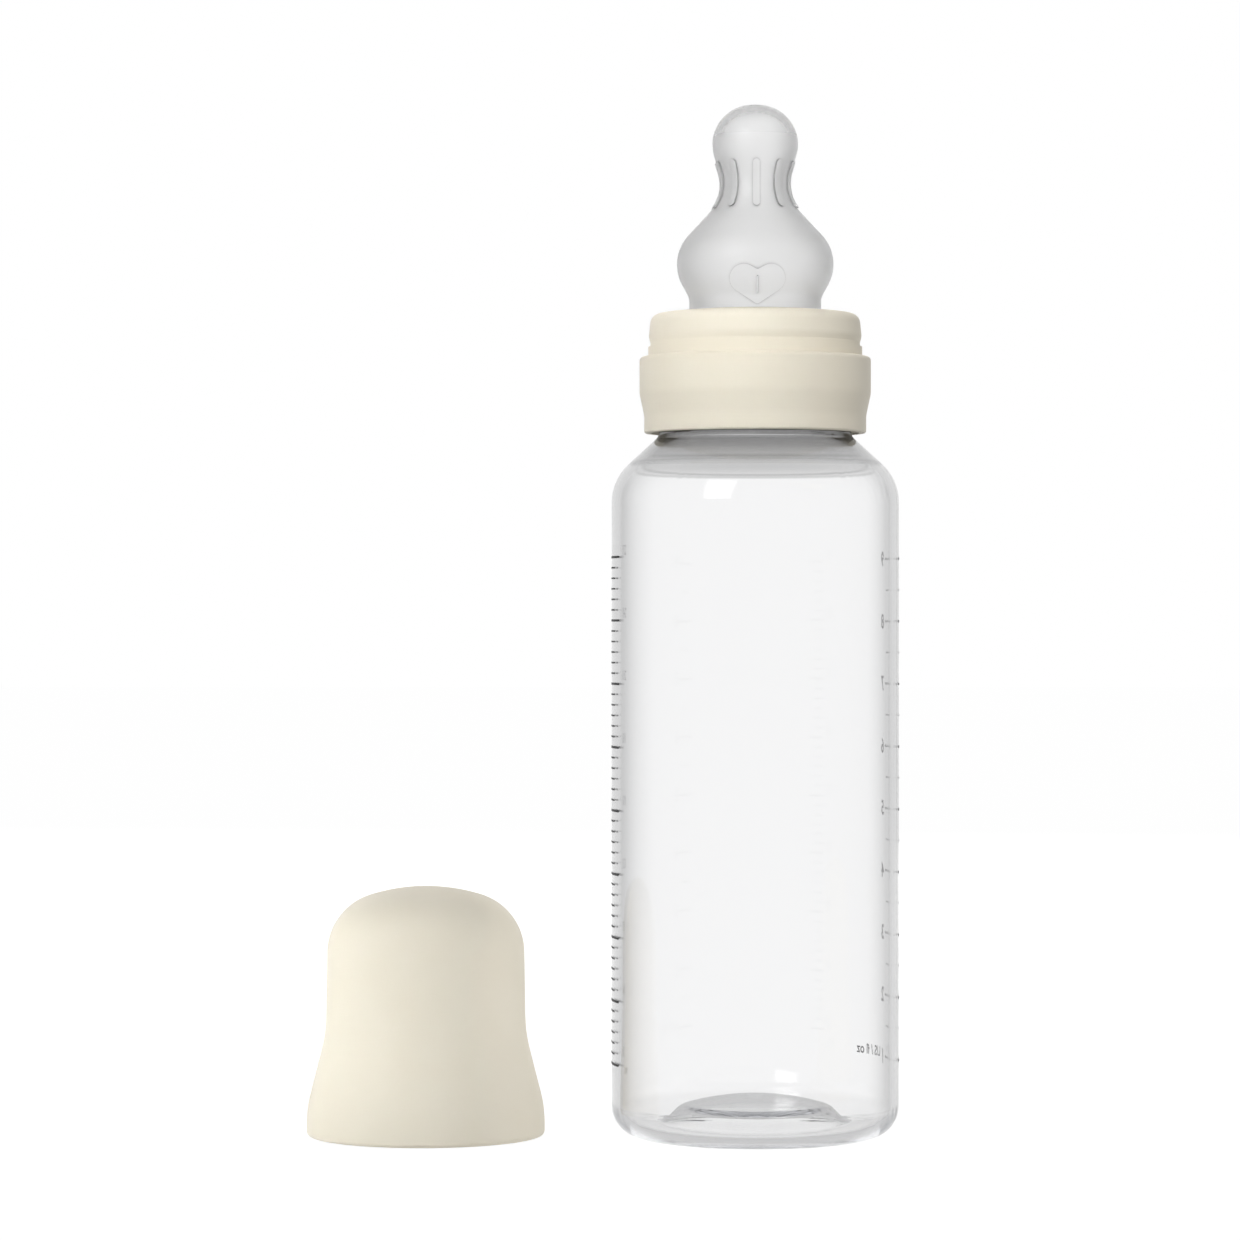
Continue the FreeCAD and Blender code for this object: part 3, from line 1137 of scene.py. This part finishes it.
@dataclass(frozen=True)
class SoftLamp:
    """A soft lamp: where it hangs, what it faces, its face, its power, its beam and its use.

    Lengths are metres and the beam is degrees.
    """

    name: str
    place: tuple[float, float, float]
    aim: tuple[float, float, float]
    wide: float
    tall: float
    watts: float
    beam: float = 180.0
    use: LampUse = LampUse.LIGHTS


MIDDLE = (-0.02, 0.0, 0.11)
SOFT_LAMPS = (
    SoftLamp(
        "window_softbox",
        (-0.62, -0.98, 0.635),
        MIDDLE,
        wide=0.6,
        tall=1.05,
        watts=3.75,
        use=LampUse.MIRRORED,
    ),
    SoftLamp(
        "head_key",
        (-0.186, -0.511, 0.424),
        (0.0, 0.0, 0.17),
        wide=0.12,
        tall=0.12,
        watts=0.031,
        beam=17.0,
    ),
    SoftLamp(
        "cap_left",
        (-0.464, -0.212, 0.12),
        (-0.067, 0.0, 0.024),
        wide=0.07,
        tall=0.07,
        watts=0.0256,
        beam=24.0,
    ),
    SoftLamp(
        "cap_fill",
        (0.32, -0.225, 0.08),
        (-0.067, 0.0, 0.03),
        wide=0.07,
        tall=0.07,
        watts=0.0105,
        beam=20.0,
    ),
    SoftLamp("back_key", (0.1, 1.0, 0.6), MIDDLE, wide=0.6, tall=0.6, watts=5.0),
)


@dataclass(frozen=True)
class Studio:
    """A pale floor, a white surround, soft lamps and the photograph's camera."""

    focal_px: float = 4450.0
    frame_px: float = 1240.0
    sensor_mm: float = 36.0
    near_m: float = 0.02
    distance_m: float = 0.8989
    camera_x_m: float = -0.0273
    camera_z_m: float = 0.1042
    bounces: int = 40
    surround: float = 0.42
    panel_count: int = 8
    panel_gap: float = 0.4
    panel_edge: float = 0.7
    panel_turn: float = 2.6
    panel_slopes: Span = (0.12, 0.35)
    inner_mirror: float = 0.6
    floor_half_m: float = 6.0
    floor_glow: float = 0.86
    floor_fill: float = 0.3
    floor_grey: float = 0.32
    lamp_fade: Span = (0.2, 0.5)
    lamp_peak: float = 1.8

    def seen(self, tree: bpy.types.NodeTree) -> bpy.types.NodeSocket:
        """Adds a value that is 1 for what the camera, gloss or glass sees.

        Args:
            tree: The tree that gets the nodes.

        Returns:
            The value's socket.
        """
        path = add_node(tree, "ShaderNodeLightPath")
        shine = add_node(
            tree,
            "ShaderNodeMath",
            {"operation": "MAXIMUM"},
            {0: path.outputs["Is Glossy Ray"], 1: path.outputs["Is Transmission Ray"]},
        )
        seen = add_node(
            tree,
            "ShaderNodeMath",
            {"operation": "MAXIMUM"},
            {0: path.outputs["Is Camera Ray"], 1: shine.outputs[0]},
        )
        return seen.outputs[0]

    def walls(self, tree: bpy.types.NodeTree, toward: bpy.types.NodeSocket) -> bpy.types.NodeSocket:
        """Adds the light of low white panels that stand round the object, with grey gaps.

        Args:
            tree: The tree that gets the nodes.
            toward: A direction as seen from the object.

        Returns:
            The level's socket.
        """
        part = add_node(tree, "ShaderNodeSeparateXYZ", inputs={"Vector": toward})
        around = add_node(
            tree,
            "ShaderNodeMath",
            {"operation": "ARCTAN2"},
            {0: part.outputs["Y"], 1: part.outputs["X"]},
        )
        phase = add_node(
            tree,
            "ShaderNodeMath",
            {"operation": "MULTIPLY_ADD"},
            {
                0: around.outputs[0],
                1: float(self.panel_count),
                2: math.radians(self.panel_count * self.panel_turn),
            },
        )
        wave = add_node(tree, "ShaderNodeMath", {"operation": "COSINE"}, {0: phase.outputs[0]})
        panel = add_node(
            tree,
            "ShaderNodeMapRange",
            inputs={
                "Value": wave.outputs[0],
                "From Min": -1.0,
                "From Max": self.panel_edge,
                "To Min": self.panel_gap,
            },
        )
        slope = add_node(tree, "ShaderNodeMath", {"operation": "ABSOLUTE"}, {0: part.outputs["Z"]})
        beside = add_node(
            tree,
            "ShaderNodeMapRange",
            {"interpolation_type": "SMOOTHSTEP"},
            {
                "Value": slope.outputs[0],
                "From Min": self.panel_slopes[0],
                "From Max": self.panel_slopes[1],
                "To Min": 1.0,
                "To Max": 0.0,
            },
        )
        walls = add_node(
            tree,
            "ShaderNodeMix",
            inputs={"Factor": beside.outputs["Result"], "A": 1.0, "B": panel.outputs["Result"]},
        )
        return walls.outputs["Result"]

    def panels(
        self, tree: bpy.types.NodeTree, toward: bpy.types.NodeSocket
    ) -> bpy.types.NodeSocket:
        """Adds the surround as it is seen: white, but for what clear walls show.

        Through clear walls the gaps of the panels show, and what they mirror inside is even grey.

        Args:
            tree: The tree that gets the nodes.
            toward: A direction as seen from the object.

        Returns:
            The level's socket.
        """
        path = add_node(tree, "ShaderNodeLightPath")
        mirrored = add_node(
            tree,
            "ShaderNodeMath",
            {"operation": "GREATER_THAN"},
            {0: path.outputs["Glossy Depth"], 1: 0.5},
        )
        behind = add_node(
            tree,
            "ShaderNodeMix",
            inputs={
                "Factor": mirrored.outputs[0],
                "A": self.walls(tree, toward),
                "B": self.inner_mirror,
            },
        )
        level = add_node(
            tree,
            "ShaderNodeMix",
            inputs={
                "Factor": path.outputs["Is Transmission Ray"],
                "A": 1.0,
                "B": behind.outputs["Result"],
            },
        )
        return level.outputs["Result"]

    def world(self) -> None:
        """Surrounds the object with white panels, at a plain level of light."""
        world = bpy.data.worlds.new("white_panels")
        world.use_nodes = True
        tree = world.node_tree
        tree.nodes.clear()
        toward = add_node(tree, "ShaderNodeTexCoord").outputs["Generated"]
        level = add_node(
            tree,
            "ShaderNodeMix",
            inputs={
                "Factor": self.seen(tree),
                "A": self.surround,
                "B": self.panels(tree, toward),
            },
        )
        light = add_node(
            tree,
            "ShaderNodeBackground",
            inputs={"Color": WHITE, "Strength": level.outputs["Result"]},
        )
        add_node(tree, "ShaderNodeOutputWorld", inputs={"Surface": light.outputs["Background"]})
        bpy.context.scene.world = world

    def floor(self) -> None:
        """Lays the pale floor, which is white to the eye and keeps a soft shadow."""
        material, tree = new_material("floor_paper_white")
        glow = add_node(
            tree,
            "ShaderNodeMapRange",
            inputs={
                "Value": self.seen(tree),
                "To Min": self.floor_fill,
                "To Max": self.floor_glow,
            },
        )
        lit = add_node(
            tree,
            "ShaderNodeEmission",
            inputs={"Color": WHITE, "Strength": glow.outputs["Result"]},
        )
        grey = (self.floor_grey, self.floor_grey, self.floor_grey, 1.0)
        paper = add_node(tree, "ShaderNodeBsdfDiffuse", inputs={"Color": grey})
        both = add_node(
            tree,
            "ShaderNodeAddShader",
            inputs={0: lit.outputs["Emission"], 1: paper.outputs["BSDF"]},
        )
        add_node(tree, "ShaderNodeOutputMaterial", inputs={"Surface": both.outputs["Shader"]})
        mesh = bpy.data.meshes.new("floor")
        half = self.floor_half_m
        corners = [(-half, -half, 0.0), (half, -half, 0.0), (half, half, 0.0), (-half, half, 0.0)]
        mesh.from_pydata(corners, [], [(0, 1, 2, 3)])
        floor = piece_from("floor", mesh, False)
        floor.data.materials.append(material)
        floor.visible_transmission = False

    def hang(self, lamp: SoftLamp) -> None:
        """Adds a soft lamp that fades towards the edges of its face.

        Args:
            lamp: The lamp's sizes and use.
        """
        light = bpy.data.lights.new(lamp.name, "AREA")
        light.shape = "RECTANGLE"
        light.size = lamp.wide
        light.size_y = lamp.tall
        light.energy = lamp.watts
        light.spread = math.radians(lamp.beam)
        light.use_nodes = True
        tree = light.node_tree
        tree.nodes.clear()
        face = add_node(tree, "ShaderNodeNewGeometry").outputs["Parametric"]
        centred = add_node(
            tree, "ShaderNodeMapping", inputs={"Vector": face, "Location": (-0.5, -0.5, 0.0)}
        )
        off = add_node(
            tree,
            "ShaderNodeVectorMath",
            {"operation": "ABSOLUTE"},
            {0: centred.outputs["Vector"]},
        )
        side = add_node(tree, "ShaderNodeSeparateXYZ", inputs={"Vector": off.outputs["Vector"]})
        out = add_node(
            tree,
            "ShaderNodeMath",
            {"operation": "MAXIMUM"},
            {0: side.outputs["X"], 1: side.outputs["Y"]},
        )
        fade = add_node(
            tree,
            "ShaderNodeMapRange",
            {"interpolation_type": "SMOOTHSTEP"},
            {
                "Value": out.outputs[0],
                "From Min": self.lamp_fade[0],
                "From Max": self.lamp_fade[1],
                "To Min": self.lamp_peak,
                "To Max": 0.0,
            },
        )
        glow = add_node(tree, "ShaderNodeEmission", inputs={"Strength": fade.outputs["Result"]})
        add_node(tree, "ShaderNodeOutputLight", inputs={"Surface": glow.outputs["Emission"]})
        hung = bpy.data.objects.new(lamp.name, light)
        bpy.context.scene.collection.objects.link(hung)
        place = Vector(lamp.place)
        hung.location = place
        hung.rotation_euler = (Vector(lamp.aim) - place).to_track_quat("-Z", "Y").to_euler()
        hung.visible_diffuse = lamp.use is LampUse.LIGHTS
        hung.visible_glossy = lamp.use is LampUse.MIRRORED
        hung.visible_transmission = lamp.use is LampUse.MIRRORED

    def camera(self) -> None:
        """Places the photograph's camera, level and in front."""
        lens = bpy.data.cameras.new("front_camera")
        lens.sensor_width = self.sensor_mm
        lens.lens = self.focal_px / self.frame_px * self.sensor_mm
        lens.clip_start = self.near_m
        camera = bpy.data.objects.new("front_camera", lens)
        bpy.context.scene.collection.objects.link(camera)
        camera.location = (self.camera_x_m, -self.distance_m, self.camera_z_m)
        camera.rotation_euler = (math.radians(90.0), 0.0, 0.0)
        bpy.context.scene.camera = camera

    def build(self) -> None:
        """Sets up the whole studio."""
        scene = bpy.context.scene
        scene.view_settings.view_transform = "Standard"
        scene.cycles.max_bounces = self.bounces
        scene.cycles.transmission_bounces = self.bounces
        scene.cycles.glossy_bounces = self.bounces
        self.world()
        self.floor()
        for lamp in SOFT_LAMPS:
            self.hang(lamp)
        self.camera()


def main() -> None:
    """Dresses the bottle, the head and the cap, and sets up the studio."""
    logging.basicConfig(level=logging.INFO)
    plastic, ink = ClearCopolyester().build(), PadPrintInk().build()
    silicone, cream = MouldedSilicone().build(), MattePolypropylene().build()
    pieces = Bottle().dress(plastic, ink) + Head().dress(silicone, cream)
    paint_node("protective_cap", cream)
    Studio().build()
    for piece in pieces:
        log.info("%s: %d faces", piece.name, len(piece.data.polygons))


if __name__ == "__main__":
    main()
